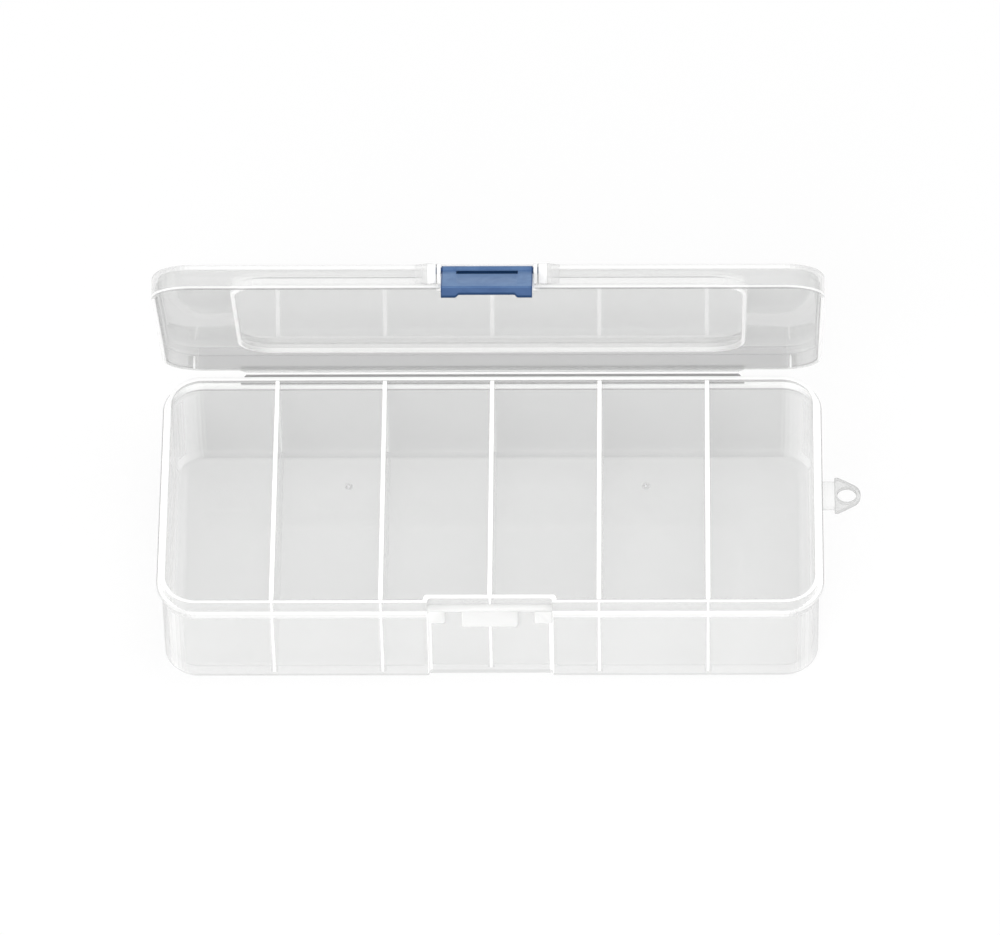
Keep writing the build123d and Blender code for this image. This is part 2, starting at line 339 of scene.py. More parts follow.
class Shape:
    """Corners and faces of a mesh, in millimetres, with painted light and shade at each face corner."""

    def __init__(self):
        self.corners = []
        self.faces = []
        self.painted_light_shade = []

    def ring(self, points):
        start = len(self.corners)
        self.corners.extend(points)
        return list(range(start, len(self.corners)))

    def face(self, indices, white):
        self.faces.append(indices)
        self.painted_light_shade.append(white if isinstance(white, (list, tuple)) else [white] * len(indices))

    def band(self, low, high, white_low, white_high=None):
        """Quads between two rings of as many points. White is one number, or one for each side."""
        white_high = white_low if white_high is None else white_high
        count = len(low)
        for i in range(count):
            j = (i + 1) % count
            a = white_low[i] if isinstance(white_low, list) else white_low
            b = white_high[i] if isinstance(white_high, list) else white_high
            self.face([low[i], low[j], high[j], high[i]], [a, a, b, b])

    def skin(self, rings, white_start=0.0, white_end=0.0):
        """Bands between the rings, each a list of points with its painted light and shade, and a face
        on each end.
        """
        made = [(self.ring(points), white) for points, white in rings]
        for (low, white_low), (high, white_high) in zip(made, made[1:]):
            self.band(low, high, white_low, white_high)
        self.face(made[0][0][::-1], white_start)
        self.face(made[-1][0], white_end)

    def prism(self, outline, start, end, place, white=0.0, side_white=None):
        """A plate of that outline between two levels. place turns (u, v, level) into a point."""
        low = self.ring([place(u, v, start) for u, v in outline])
        high = self.ring([place(u, v, end) for u, v in outline])
        self.band(low, high, white if side_white is None else side_white)
        self.face(low[::-1], white)
        self.face(high, white)

    def build(self, name, finish, move=None, edge=0.0, segments=2):
        """The mesh in metres, with its faces outwards, its edges rounded and its place applied."""
        mesh = bpy.data.meshes.new(name)
        mesh.from_pydata([Vector(c) * MILLIMETRE for c in self.corners], [], self.faces)
        attribute = mesh.attributes.new("painted_light_shade", "FLOAT", "CORNER")
        attribute.data.foreach_set("value", [w for face in self.painted_light_shade for w in face])
        if move is not None:
            mesh.transform(move)
        work = bmesh.new()
        work.from_mesh(mesh)
        bmesh.ops.remove_doubles(work, verts=work.verts, dist=1e-7)
        bmesh.ops.dissolve_degenerate(work, edges=work.edges, dist=1e-8)
        bmesh.ops.recalc_face_normals(work, faces=work.faces)
        work.to_mesh(mesh)
        work.free()
        mesh.materials.append(finish)
        piece = bpy.data.objects.new(name, mesh)
        bpy.context.scene.collection.objects.link(piece)
        if edge:
            rounded = piece.modifiers.new("rounded_edges", "BEVEL")
            rounded.width = edge * MILLIMETRE
            rounded.segments = segments
            rounded.limit_method = "ANGLE"
            rounded.angle_limit = SMOOTH_ANGLE
            rounded.harden_normals = True
            settle(piece)
        for polygon in piece.data.polygons:
            polygon.use_smooth = True
        if not edge:
            piece.data.set_sharp_from_angle(angle=SMOOTH_ANGLE)
        return piece


def settle(piece):
    """Works the object's modifiers into a plain mesh."""
    view = bpy.context.evaluated_depsgraph_get()
    mesh = bpy.data.meshes.new_from_object(
        piece.evaluated_get(view), preserve_all_data_layers=True, depsgraph=view
    )
    piece.modifiers.clear()
    piece.data = mesh
    return piece


def lid_place(turn=LID_TURN):
    """From the shut lid's millimetres, already in metres, to where the open lid is."""
    hinge = Vector((0, HINGE_Y, LEDGE)) * MILLIMETRE
    shut_hinge = Vector((0, HINGE_Y, 0)) * MILLIMETRE
    return Matrix.Translation(hinge) @ Matrix.Rotation(-turn, 4, "X") @ Matrix.Translation(-shut_hinge)


def latch_place():
    """From the latch's own millimetres, with the pivot at the origin, to where it is swung out."""
    pivot = lid_place() @ (Vector((0, PIVOT_Y, PIVOT_HEIGHT)) * MILLIMETRE)
    return Matrix.Translation(pivot) @ Matrix.Rotation(-LATCH_TURN, 4, "X")


def arc(centre, radius, start, end, steps):
    """Points on an ellipse's arc, with angles in degrees."""
    rx, ry = radius
    turns = [radians(start + (end - start) * i / steps) for i in range(steps + 1)]
    return [(centre[0] + rx * cos(t), centre[1] + ry * sin(t)) for t in turns]


CORNER_STEPS = 12
BAY_STEPS = 4


def plan(half, deep, corner, bay_half, bay_face, bay_corner, shift=0.0):
    """The plan of a rounded box with a bay in its front, and the name of each side of it.
    corner is one radius or one for each direction. It has as many points for any sizes."""
    rx, ry = corner if isinstance(corner, tuple) else (corner, corner)
    front = shift - deep
    back = shift + deep
    bay_face = max(bay_face, front)
    deepness = bay_face - front
    mouth = min(0.3, deepness * 0.3)
    inner = min(bay_corner, deepness * 0.6)
    points = []
    names = []

    def run(new, name):
        points.extend(new)
        names.extend([name] * len(new))

    run(arc((-half + rx, front + ry), (rx, ry), 180, 270, CORNER_STEPS), "corner")
    names[-1] = "front"
    run(arc((-bay_half - mouth, front + mouth), (mouth, mouth), 270, 360, BAY_STEPS), "bay_side")
    run(arc((-bay_half + inner, bay_face - inner), (inner, inner), 180, 90, BAY_STEPS), "bay_side")
    names[-1] = "bay_face"
    run(arc((bay_half - inner, bay_face - inner), (inner, inner), 90, 0, BAY_STEPS), "bay_side")
    run(arc((bay_half + mouth, front + mouth), (mouth, mouth), 180, 270, BAY_STEPS), "bay_side")
    names[-1] = "front"
    run(arc((half - rx, front + ry), (rx, ry), 270, 360, CORNER_STEPS), "corner")
    names[-1] = "end"
    run(arc((half - rx, back - ry), (rx, ry), 0, 90, CORNER_STEPS), "corner")
    names[-1] = "back"
    run(arc((-half + rx, back - ry), (rx, ry), 90, 180, CORNER_STEPS), "corner")
    names[-1] = "end"
    return points, names


SIDES = plan(10, 10, 1, 2, -9, 0.5)[1]
CORNER_STARTS = [i for i, name in enumerate(SIDES) if name == "corner" and SIDES[i - 1] != "corner"]


def painted_by_side(plain, **others):
    """Painted light and shade for each side of a plan, changing little by little round its corners."""
    found = [others.get(name, plain) for name in SIDES]
    for start in CORNER_STARTS:
        before = found[start - 1]
        after = found[(start + CORNER_STEPS) % len(found)]
        middle = others.get("corner", (before + after) / 2)
        for step in range(CORNER_STEPS):
            along = 2 * (step + 0.5) / CORNER_STEPS
            if along < 1:
                found[start + step] = before + (middle - before) * along
            else:
                found[start + step] = middle + (after - middle) * (along - 1)
    return found


def tray_outer(offset, level):
    """A ring round the outside of the tray. A negative offset stands out from the wall."""
    points = plan(
        TRAY_HALF - offset,
        TRAY_DEEP - offset,
        TRAY_CORNER - offset,
        RECESS_HALF,
        RECESS_FACE,
        RECESS_ROUND,
    )[0]
    return [(x, y, level) for x, y in points]


def tray_inner(end_in, long_in, end_level, long_level):
    """A ring round the inside of the tray, which is rounder along the floor's ends than its sides."""
    share = long_in / FLOOR_ROUND_LONG
    points, names = plan(
        TRAY_HALF - WALL - end_in,
        TRAY_DEEP - WALL - long_in,
        (TRAY_CORNER - WALL - end_in, TRAY_CORNER - WALL - long_in),
        RECESS_HALF + WALL + 0.5 * share,
        RECESS_FACE + WALL + 0.5 * share,
        RECESS_ROUND + WALL,
    )
    corner_x = TRAY_HALF - TRAY_CORNER
    corner_y = TRAY_DEEP - TRAY_CORNER
    ring = []
    for x, y in points:
        over_x = max(abs(x) - corner_x, 0.0)
        over_y = max(abs(y) - corner_y, 0.0)
        toward_end = atan2(over_x, over_y) / (pi / 2) if over_x or over_y else 0.0
        ring.append((x, y, long_level + (end_level - long_level) * toward_end))
    return ring


def leaf_outline(root_in=0.9):
    """The hinge leaf's outline behind the tray's flange, or behind the shut lid."""
    root = TRAY_DEEP + FLANGE
    tip = HINGE_Y - 0.35
    side = [(LEAF_ROOT_HALF, root - root_in), (LEAF_ROOT_HALF, root), (LEAF_TIP_HALF, tip)]
    return side + [(-x, y) for x, y in reversed(side)]


def flat(x, y, level):
    return (x, y, level)


def make_tray(finish):
    """Floor, walls, flange, lip and hinge leaf of the tray, as one skin from the underside in."""
    shape = Shape()
    rings = []
    turns = [radians(90 * i / 5) for i in range(6)]

    def outer(offset, level, white):
        rings.append((tray_outer(offset, level), white))

    def inner(offset, level, white):
        rings.append((tray_inner(offset, offset, level, level), white))

    # The values below are painted light and shade: walls painted paler where they look lit, the back
    # left darker as painted shade, a painted shade line under the back flange, and painted glow under
    # it where light gathers
    outside = painted_by_side(0.7, back=0.0, end=0.5, corner=0.86, bay_side=0.95, bay_face=0.66)
    under_flange = painted_by_side(0.88, bay_side=1.0, end=0.5, back=2.0)
    # Up the outside from the underside
    outer(FOOT_ROUND + 0.4, 0, 0.1)
    for t in turns:
        foot = painted_by_side(0.0, corner=0.7, bay_side=0.8)
        outer(FOOT_ROUND * (1 - sin(t)), FOOT_ROUND * (1 - cos(t)), foot)
    outer(0, FOOT_ROUND + 0.5, outside)
    outer(0, FLANGE_UNDER - 3.7, outside)
    outer(0, FLANGE_UNDER - 2.6, painted_by_side(0.86, back=0.0, end=0.5, bay_side=0.95, bay_face=0.66))
    outer(0, FLANGE_UNDER - 2.1, painted_by_side(0.86, back=0.0, end=0.5, bay_side=0.95, bay_face=0.66))
    outer(0, FLANGE_UNDER - 1.6, painted_by_side(0.86, back=-0.9, end=0.5, bay_side=0.95, bay_face=0.66))
    outer(0, FLANGE_UNDER - 1.1, under_flange)
    outer(0, FLANGE_UNDER - 0.3, under_flange)
    # Round the flange, from its underside to the ledge under the lip
    outer(-0.1, FLANGE_UNDER - 0.09, painted_by_side(0.88, back=2.0))
    outer(-0.3, FLANGE_UNDER, painted_by_side(0.9, back=1.8))
    outer(-FLANGE + 0.2, FLANGE_UNDER, painted_by_side(0.9, back=1.6))
    outer(-FLANGE + 0.05, FLANGE_UNDER + 0.06, painted_by_side(0.9, back=1.0))
    edge = painted_by_side(0.9, end=-0.6, corner=0.5, back=1.0)
    outer(-FLANGE, FLANGE_UNDER + 0.2, edge)
    outer(-FLANGE, LEDGE - 0.2, edge)
    outer(-FLANGE + 0.05, LEDGE - 0.06, edge)
    outer(-FLANGE + 0.2, LEDGE, edge)
    outer(-FLANGE + 0.35, LEDGE, painted_by_side(0.75, end=1.0, corner=1.0, back=1.0))
    outer(-0.25, LEDGE, painted_by_side(0.4, end=1.0, corner=1.0, back=1.0))
    outer(-0.07, LEDGE + 0.07, painted_by_side(0.4, end=1.0, corner=0.8, back=0.3))
    # Over the lip
    lip = painted_by_side(0.5, end=1.0, corner=0.8, back=0.2, bay_face=0.65)
    outer(0, LEDGE + 0.25, lip)
    outer(0, TRAY_TOP - LIP_ROUND - 0.25, lip)
    outer(0, TRAY_TOP - LIP_ROUND - 0.05, painted_by_side(-0.1, end=1.0, corner=0.8))
    for t in turns:
        offset = LIP_ROUND * (1 - cos(t))
        outer(offset, TRAY_TOP - LIP_ROUND * (1 - sin(t)), 1.0)
    drop = TRAY_TOP - LIP_ROUND
    for t in reversed(turns):
        inner(-LIP_ROUND * (1 - cos(t)), drop + LIP_ROUND * sin(t), painted_by_side(1.0, front=0.7))
    # Down the inside to the floor
    # A painted shade line just under the lip; below it the back wall is painted darker as shade and the
    # ends paler as light
    line = painted_by_side(-0.45, end=0.1, back=-0.4)
    inner(0, drop - 0.1, line)
    inner(0, drop - 0.6, line)
    inside = painted_by_side(0.6, back=-0.3, end=0.88)
    inner(0, drop - 1.0, inside)
    inner(0, 16.0, inside)
    end_start = FLOOR + FLOOR_ROUND_END
    long_start = FLOOR + FLOOR_ROUND_LONG
    ground = 0.2
    for i, t in enumerate(turns):
        foot = painted_by_side(0.55, back=-0.35, end=0.45, corner=0.1) if i > 2 else inside
        ring = tray_inner(
            FLOOR_ROUND_END * (1 - cos(t)),
            FLOOR_ROUND_LONG * (1 - cos(t)),
            end_start - FLOOR_ROUND_END * sin(t),
            long_start - FLOOR_ROUND_LONG * sin(t),
        )
        rings.append((ring, foot if i < 5 else ground))
    rings.append((tray_inner(FLOOR_ROUND_END + 0.5, FLOOR_ROUND_LONG + 0.5, FLOOR, FLOOR), ground))
    shape.skin(rings, 0.1, ground)
    tray = shape.build("tray", finish)
    leaf = Shape()
    # The leaf's top is painted darker as the shade in the trench behind the lip
    leaf.prism(leaf_outline(), FLANGE_UNDER + 0.02, LEDGE - 0.02, flat, -0.6, [-0.6] * 5 + [0.0])
    return join(tray, leaf.build("tray_leaf", finish, edge=0.12))


def join(*pieces):
    """The first object, with the meshes of the others in it."""
    work = bmesh.new()
    for piece in pieces:
        work.from_mesh(piece.data)
    kept = pieces[0]
    work.to_mesh(kept.data)
    work.free()
    for piece in pieces[1:]:
        bpy.data.objects.remove(piece)
    return kept


def lid_ring(half, deep, corner, level, bay_half=BAY_HALF, bay_face=BAY_FACE, shift=0.0):
    points = plan(half, deep, corner, bay_half, bay_face, 0.4, shift)[0]
    return [(x, y, level) for x, y in points]


def make_lid(finish):
    """Skirt, top, sunken panel and hinge leaf of the lid, as one skin from the inside out."""
    shape = Shape()
    rings = []
    turns = [radians(90 * i / 6) for i in range(7)]

    def panel(offset, level, white):
        ring = lid_ring(
            PANEL_HALF - offset,
            PANEL_DEEP - offset,
            PANEL_CORNER - offset,
            level,
            shift=PANEL_SHIFT,
        )
        rings.append((ring, white))

    def inner(offset, level, white):
        ring = lid_ring(
            TRAY_HALF + 0.2 - offset,
            TRAY_DEEP + 0.2 - offset,
            TRAY_CORNER + 0.2 - offset,
            level,
            BAY_HALF + WALL,
            BAY_FACE + WALL,
        )
        rings.append((ring, white))

    def outer(offset, level, white):
        half = TRAY_HALF + FLANGE - offset
        deep = TRAY_DEEP + FLANGE - offset
        rings.append((lid_ring(half, deep, TRAY_CORNER + FLANGE - offset, level), white))

    frame_round = 0.45
    # The values below are painted light and shade: painted shade lines at the rim, skirt step and wall,
    # a paler painted wall round the panel, painted glow at the back, and a paler crown as a painted
    # highlight
    rim_line = painted_by_side(-0.5, back=-0.5, bay_side=0.6, bay_face=0.6)
    skirt = painted_by_side(0.42, back=-0.48, end=-0.12, bay_side=0.8, bay_face=0.8)
    wall = painted_by_side(1.0, front=0.7, back=1.5)
    wall_line = painted_by_side(1.0, front=-0.9, back=0.5)
    wall_foot = painted_by_side(1.0, front=0.1, back=0.5)
    shelf = painted_by_side(0.15, end=0.08)
    # The panel's inner face, and the wall round it
    panel(WALL + 0.1, PANEL_INNER, 0.26)
    panel(WALL, PANEL_INNER, painted_by_side(0.26, end=0.95, corner=0.95, back=1.2))
    for t in turns[::2]:
        frame_edge = painted_by_side(0.85, end=0.95, corner=1.0, back=1.5)
        panel(frame_round * (1 - sin(t)), PANEL_INNER + frame_round * (1 - cos(t)), frame_edge)
    panel(0, PANEL_INNER + frame_round, wall)
    panel(0, WALL_LINE - 0.2, wall)
    panel(0, WALL_LINE - 0.1, wall_line)
    panel(0, WALL_LINE + 0.15, wall_line)
    panel(0, WALL_LINE + 0.25, wall_foot)
    panel(0, INNER_TOP - 0.3, wall_foot)
    panel(-0.1, INNER_TOP - 0.08, wall_foot)
    # Along the inside of the top, and down the stepped skirt
    panel(-0.4, INNER_TOP, shelf)
    inner(STEP + 0.9, INNER_TOP, shelf)
    for t in turns[::2]:
        inner(STEP + 0.6 * (1 - sin(t)), INNER_TOP - 0.6 * (1 - cos(t)), skirt)
    inner(STEP, STEP_HEIGHT + 0.15, skirt)
    inner(STEP - 0.05, STEP_HEIGHT + 0.03, painted_by_side(0.0, back=-0.6, end=-0.3))
    inner(STEP - 0.15, STEP_HEIGHT, painted_by_side(0.0, back=-0.6, end=-0.3))
    inner(0.1, STEP_HEIGHT, skirt)
    inner(0, STEP_HEIGHT - 0.1, skirt)
    inner(0, SEAT + 0.9, skirt)
    inner(0, SEAT + 0.7, rim_line)
    inner(0, SEAT + 0.35, rim_line)
    seat = painted_by_side(1.0, front=-0.5, back=-0.42)
    inner(0.0, SEAT + 0.25, seat)
    inner(-0.08, SEAT + 0.06, seat)
    inner(-0.25, SEAT, seat)
    # Round the rim, up the outside, and back to the panel
    brim = painted_by_side(1.0, front=-0.4, back=1.5)
    outer(0.25, SEAT, brim)
    outer(0.06, SEAT + 0.06, brim)
    outer(0, SEAT + 0.25, painted_by_side(1.0, front=0.86, back=1.5))
    outer(0, SEAT + 0.75, painted_by_side(1.0, front=0.86))
    outside = painted_by_side(0.5, back=-0.15, end=1.0, corner=0.7, bay_side=0.9, bay_face=0.8)
    crown = painted_by_side(0.88, back=0.0, end=0.5)
    outer(0, SEAT + 0.95, outside)
    outer(0, LID_HEIGHT - LID_ROUND - 0.7, outside)
    outer(0, LID_HEIGHT - LID_ROUND, painted_by_side(0.8, back=-0.1, end=1.0, corner=0.8))
    for t in turns[1:]:
        outer(LID_ROUND * (1 - cos(t)), LID_HEIGHT - LID_ROUND * (1 - sin(t)), crown)
    outer(LID_ROUND + 0.4, LID_HEIGHT, painted_by_side(0.4, back=-0.1, end=0.0))
    panel(WALL - PANEL_ROUND - 0.4, LID_HEIGHT, painted_by_side(0.1, back=-0.1, end=0.0))
    for t in turns[::2]:
        offset = WALL - PANEL_ROUND * (1 - sin(t))
        panel(offset, LID_HEIGHT - PANEL_ROUND * (1 - cos(t)), painted_by_side(0.5, back=0.9))
    panel(WALL, WALL_LINE + 0.1, painted_by_side(0.6, back=0.9))
    panel(WALL, WALL_LINE - 0.1, painted_by_side(0.6, back=1.5))
    panel(WALL, PANEL_OUTER + 0.3, painted_by_side(0.7, back=1.5))
    panel(WALL + 0.09, PANEL_OUTER + 0.09, painted_by_side(0.5, back=1.2))
    panel(WALL + 0.3, PANEL_OUTER, 0.26)
    panel(WALL + 0.8, PANEL_OUTER, 0.26)
    shape.skin(rings, 0.26, 0.26)
    lid = shape.build("lid", finish, lid_place())
    leaf = Shape()
    # The lid leaf's sides carry painted glow
    leaf.prism(leaf_outline(), SEAT, SEAT + 1.1, flat, 0.0, [1.0, 1.5, 1.5, 1.5, 1.0, 0.0])
    return join(lid, leaf.build("lid_leaf", finish, lid_place(), edge=0.12))


def rule(name, sizes):
    """A Geometry Nodes tree with one named input for each size."""
    bench = Bench(bpy.data.node_groups.new(name, "GeometryNodeTree"))
    face = bench.tree.interface
    for label, amount in sizes.items():
        kind = "NodeSocketInt" if isinstance(amount, int) else "NodeSocketFloat"
        face.new_socket(label, in_out="INPUT", socket_type=kind)
    face.new_socket("Pieces", in_out="OUTPUT", socket_type="NodeSocketGeometry")
    given = bench.add("NodeGroupInput")
    return bench, {label: Value(bench, given.outputs[label]) for label in sizes}


def grow(name, bench, sizes, pieces, finish):
    """Ends the tree and gives its sizes to a modifier on a new object. The caller bakes what it makes
    into a plain mesh.
    """
    real = bench.node("GeometryNodeRealizeInstances", None, {"Geometry": pieces})
    dressed = bench.node("GeometryNodeSetMaterial", None, {"Geometry": real, "Material": finish})
    bench.add("NodeGroupOutput", None, {"Pieces": dressed})
    seed = bpy.data.meshes.new(name)
    piece = bpy.data.objects.new(name, seed)
    bpy.context.scene.collection.objects.link(piece)
    modifier = piece.modifiers.new("rule", "NODES")
    modifier.node_group = bench.tree
    for item in bench.tree.interface.items_tree:
        if item.in_out == "INPUT" and item.name in sizes:
            modifier[item.identifier] = sizes[item.name]
    return piece


def make_dividers(finish):
    """Five drafted dividers at one pitch, sunk a little into the floor and the walls."""
    sizes = {
        "Count": DIVIDER_COUNT,
        "Pitch": DIVIDER_PITCH * MILLIMETRE,
        "Top Width": 1.2 * MILLIMETRE,
        "Base Width": 1.9 * MILLIMETRE,
        "Length": (2 * (TRAY_DEEP - WALL) + 2 * DIVIDER_SUNK) * MILLIMETRE,
        "Foot": (FLOOR - DIVIDER_SUNK) * MILLIMETRE,
        "Top": DIVIDER_TOP * MILLIMETRE,
        "Bay Half": (RECESS_HALF + WALL) * MILLIMETRE,
        "Bay Face": (RECESS_FACE + WALL - DIVIDER_SUNK) * MILLIMETRE,
    }
    bench, size = rule("divider_rank", sizes)
    height = size["Top"] - size["Foot"]
    block_size = bench.node(
        "ShaderNodeCombineXYZ", None, {"X": size["Base Width"], "Y": size["Length"], "Z": height}
    )
    block = bench.node("GeometryNodeMeshCube", None, {"Size": block_size, "Vertices X": 4})
    spot = bench.add("ShaderNodeSeparateXYZ", None, {0: bench.node("GeometryNodeInputPosition")})
    spot_x, spot_y, spot_z = (Value(bench, spot.outputs[i]) for i in range(3))
    core = spot_x.size() < size["Base Width"] * 0.17
    normal = bench.add("ShaderNodeSeparateXYZ", None, {0: bench.node("GeometryNodeInputNormal")})
    face_x = Value(bench, normal.outputs[0]).size()
    face_z = Value(bench, normal.outputs[2])
    face_y = Value(bench, normal.outputs[1]).size()
    # Painted light: tops painted white, and sides and ends paler, as they look lit
    white = (face_z > 0.7) * 1.0 + (face_y > 0.7) * (core * 0.3 + 0.7) + (face_x > 0.7) * 0.7
    marked = bench.node(
        "GeometryNodeStoreNamedAttribute",
        {"data_type": "FLOAT", "domain": "FACE"},
        {"Geometry": block, "Name": "painted_light_shade", "Value": white},
    )
    rise = spot_z / height + 0.5
    width = (size["Top Width"] / size["Base Width"]) * rise + (1.0 - rise)
    drafted_place = bench.node(
        "ShaderNodeCombineXYZ",
        None,
        {"X": spot_x * width, "Y": spot_y, "Z": spot_z + (size["Top"] + size["Foot"]) * 0.5},
    )
    drafted = bench.node(
        "GeometryNodeSetPosition", None, {"Geometry": marked, "Position": drafted_place}
    )
    first = size["Pitch"] * (size["Count"] - 1.0) * -0.5
    start = bench.node("ShaderNodeCombineXYZ", None, {"X": first})
    step = bench.node("ShaderNodeCombineXYZ", None, {"X": size["Pitch"]})
    line = bench.node(
        "GeometryNodeMeshLine",
        {"mode": "OFFSET", "count_mode": "TOTAL"},
        {"Count": size["Count"], "Start Location": start, "Offset": step},
    )
    row = bench.node(
        "GeometryNodeInstanceOnPoints", None, {"Points": line, "Instance": drafted}
    )
    loose = bench.node("GeometryNodeRealizeInstances", None, {"Geometry": row})
    in_bay = (spot_x.size() < size["Bay Half"]) * (spot_y < size["Bay Face"])
    held_y = spot_y * (1.0 - in_bay) + size["Bay Face"] * in_bay
    held_place = bench.node("ShaderNodeCombineXYZ", None, {"X": spot_x, "Y": held_y, "Z": spot_z})
    held = bench.node("GeometryNodeSetPosition", None, {"Geometry": loose, "Position": held_place})
    piece = grow("dividers", bench, sizes, held, finish)
    rounded = piece.modifiers.new("rounded_edges", "BEVEL")
    rounded.width = 0.16 * MILLIMETRE
    rounded.segments = 3
    rounded.limit_method = "ANGLE"
    rounded.harden_normals = True
    settle(piece)
    for polygon in piece.data.polygons:
        polygon.use_smooth = True
    return piece


def make_skirt_ribs(finish):
    """Two low ribs in the lid's skirt, near its hinge corners, clear of the shut tray's lip."""
    sizes = {
        "Spread": 164.8 * MILLIMETRE,
        "Back": 39.55 * MILLIMETRE,
        "Rib Width": 2.0 * MILLIMETRE,
        "Rib Depth": 0.5 * MILLIMETRE,
        "Rib Height": 3.8 * MILLIMETRE,
        "Foot": 0.25 * MILLIMETRE,
    }
    bench, size = rule("skirt_rib_set", sizes)
    block_size = bench.node(
        "ShaderNodeCombineXYZ",
        None,
        {"X": size["Rib Width"], "Y": size["Rib Depth"], "Z": size["Rib Height"]},
    )
    block = bench.node("GeometryNodeMeshCube", None, {"Size": block_size})
    # The ribs are painted white as light, with a little painted glow
    marked = bench.node(
        "GeometryNodeStoreNamedAttribute",
        {"data_type": "FLOAT", "domain": "FACE"},
        {"Geometry": block, "Name": "painted_light_shade", "Value": 1.1},
    )
    lift = bench.node("ShaderNodeCombineXYZ", None, {"Z": size["Foot"] + size["Rib Height"] * 0.5})
    raised = bench.node(
        "GeometryNodeTransform", None, {"Geometry": marked, "Translation": lift}
    )
    first = bench.node(
        "ShaderNodeCombineXYZ", None, {"X": size["Spread"] * -0.5, "Y": size["Back"]}
    )
    step = bench.node("ShaderNodeCombineXYZ", None, {"X": size["Spread"]})
    corners = bench.node(
        "GeometryNodeMeshLine",
        {"mode": "OFFSET", "count_mode": "TOTAL"},
        {"Count": 2, "Start Location": first, "Offset": step},
    )
    ribs = bench.node(
        "GeometryNodeInstanceOnPoints", None, {"Points": corners, "Instance": raised}
    )
    piece = grow("skirt_ribs", bench, sizes, ribs, finish)
    rounded = piece.modifiers.new("rounded_edges", "BEVEL")
    rounded.width = 0.12 * MILLIMETRE
    rounded.segments = 2
    rounded.limit_method = "ANGLE"
    rounded.harden_normals = True
    settle(piece)
    for polygon in piece.data.polygons:
        polygon.use_smooth = True
    piece.data.transform(lid_place())
    return piece


def make_catch(finish):
    """The bar across the recess, with the centre tab and the two legs that hang from it."""
    face = RECESS_FACE - CATCH_REACH
    under = FLANGE_UNDER
    shape = Shape()
    bar = [
        (-RECESS_HALF - 0.15, face),
        (RECESS_HALF + 0.15, face),
        (RECESS_HALF + 0.15, RECESS_FACE + 0.15),
        (-RECESS_HALF - 0.15, RECESS_FACE + 0.15),
    ]
    # The bar and tab are painted paler as light
    shape.prism(bar, under, LEDGE - 0.02, flat, 0.86)
    bottom = [(-RECESS_HALF, LEDGE - 0.4)]
    for x, width, drop in CATCH_PARTS:
        left = x - width / 2
        right = x + width / 2
        low = under - drop
        bottom.append((left, under - 0.02))
        bottom.extend(arc((left + 0.6, low + 0.6), (0.6, 0.6), 180, 270, 4))
        bottom.extend(arc((right - 0.6, low + 0.6), (0.6, 0.6), 270, 360, 4))
        bottom.append((right, under - 0.02))
    bottom.append((RECESS_HALF, LEDGE - 0.4))
    shape.prism(bottom, face + 0.01, face + 1.1, lambda x, z, y: (x, y, z), 0.9)
    return shape.build("catch", finish, edge=0.13)


def make_loop(finish):
    """The neck, bar and tapered ring of the hang loop."""
    neck_end = TRAY_HALF + FLANGE + NECK_REACH
    hole_x = TRAY_HALF + FLANGE + HOLE_REACH
    corner = Vector((neck_end + 1.0 - hole_x, BAR_HALF))
    top = LEDGE
    low = LEDGE - LOOP_THICK
    shape = Shape()
    lean = atan2(corner.y, corner.x)
    touch = lean - acos(RING_ROUND / corner.length)
    count = 48
    outline = []
    circle = []
    for i in range(count):
        t = -pi + 2 * pi * i / count + 1e-4
        direction = Vector((cos(t), sin(t)))
        if abs(t) <= touch:
            reach = RING_ROUND
        else:
            normal = Vector((cos(touch), sin(touch) * (1 if t > 0 else -1)))
            reach = RING_ROUND / max(direction.dot(normal), 1e-6)
            back = (neck_end - hole_x) / direction.x if direction.x < 0 else 1e9
            side = BAR_HALF / abs(direction.y) if abs(direction.y) > 1e-6 else 1e9
            reach = min(r for r in (reach if reach > 0 else 1e9, back, side))
        outline.append((hole_x + direction.x * reach, direction.y * reach))
        circle.append((hole_x + direction.x * HOLE_ROUND, direction.y * HOLE_ROUND))
    a = shape.ring([(x, y, low) for x, y in outline])
    b = shape.ring([(x, y, top) for x, y in outline])
    c = shape.ring([(x, y, top) for x, y in circle])
    d = shape.ring([(x, y, low) for x, y in circle])
    # Its walls are painted darker as shade lines, and its faces a little paler
    shape.band(a, b, -0.3)
    shape.band(b, c, 0.15)
    shape.band(c, d, -0.3)
    shape.band(d, a, 0.15)
    neck = [
        (TRAY_HALF + FLANGE - 0.6, -NECK_HALF),
        (neck_end + 0.2, -NECK_HALF),
        (neck_end + 0.2, NECK_HALF),
        (TRAY_HALF + FLANGE - 0.6, NECK_HALF),
    ]
    shape.prism(neck, low + 0.05, top - 0.05, flat, 0.7)
    return shape.build("hang_loop_ring", finish, edge=0.15)


def make_film(finish):
    """The living hinge's film, thin in its middle, bent round the hinge axis."""
    shape = Shape()
    steps = 16
    rings = []
    for x in (-LEAF_TIP_HALF, LEAF_TIP_HALF):
        inside = []
        outside = []
        for i in range(steps + 1):
            share = i / steps
            t = radians(-90 + FILM_BEND * share)
            thin = 0.20 - 0.06 * sin(pi * share)
            for side, row in ((-thin, inside), (thin, outside)):
                r = FILM_ROUND + side
                row.append((x, HINGE_Y + r * cos(t), LEDGE + r * sin(t)))
        rings.append(shape.ring(inside + outside[::-1]))
    # The film is painted paler, and its finish adds painted glow
    shape.band(rings[0], rings[1], 0.8)
    shape.face(rings[0][::-1], 0.8)
    shape.face(rings[1], 0.8)
    return shape.build("hinge_film", finish)


